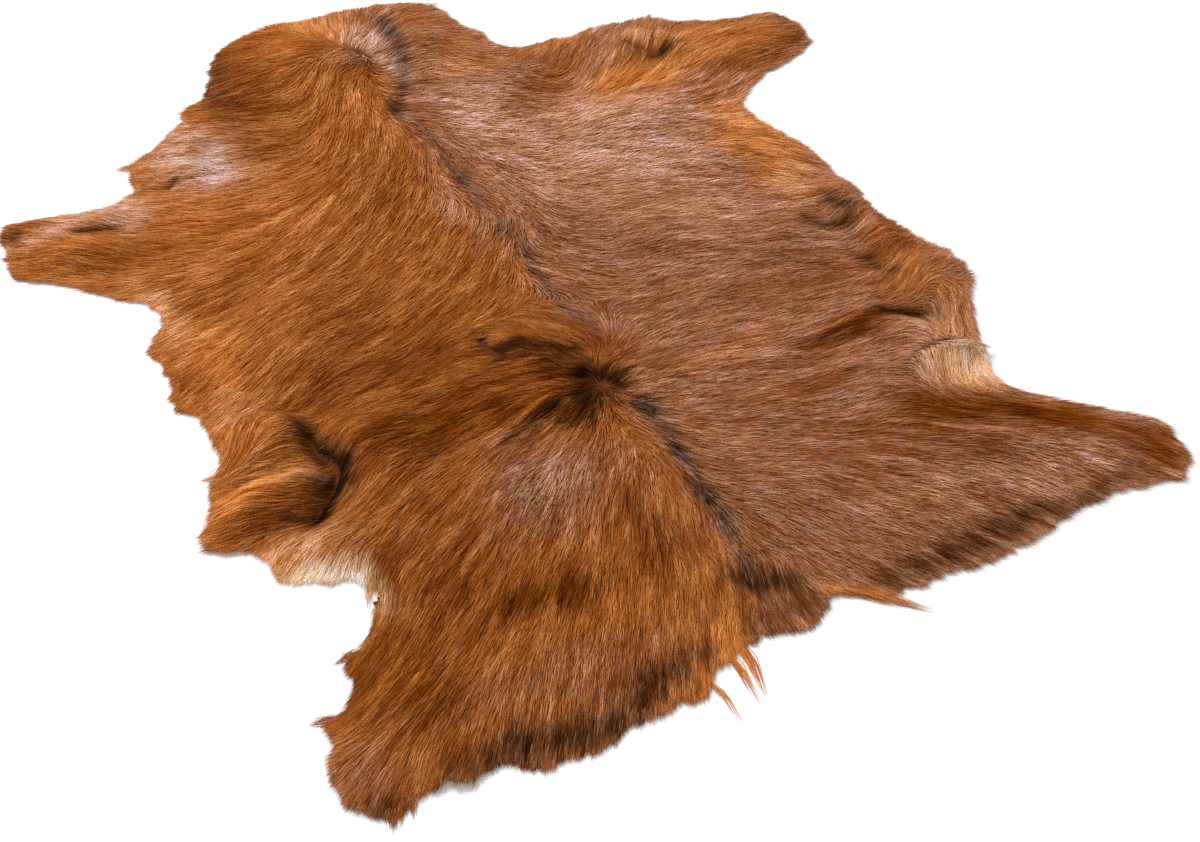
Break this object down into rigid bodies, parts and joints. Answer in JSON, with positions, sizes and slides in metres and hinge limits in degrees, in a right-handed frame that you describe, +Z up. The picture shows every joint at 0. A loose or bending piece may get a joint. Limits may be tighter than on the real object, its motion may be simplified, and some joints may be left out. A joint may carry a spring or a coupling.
{
  "type": "goatskin rug",
  "caption": "Whole goat hide lying hair side up as a floor rug, with neck, legs and tail, soft folds and a ragged rim of hair.",
  "frame": {"origin": "on the floor, under the middle of the hide's bounding box", "axes": "+Z up, out of the hair side; +Y from the tail to the neck; +X to the animal's right"},
  "size_m": [0.9406, 1.0772, 0.0422],
  "materials": {
    "goat_hair": "short sleek red-brown hair with a darker stripe along the back and a pale flesh side"
  },
  "bodies": {
    "root": {"hide": "goat_hair"}
  },
  "joints": []
}
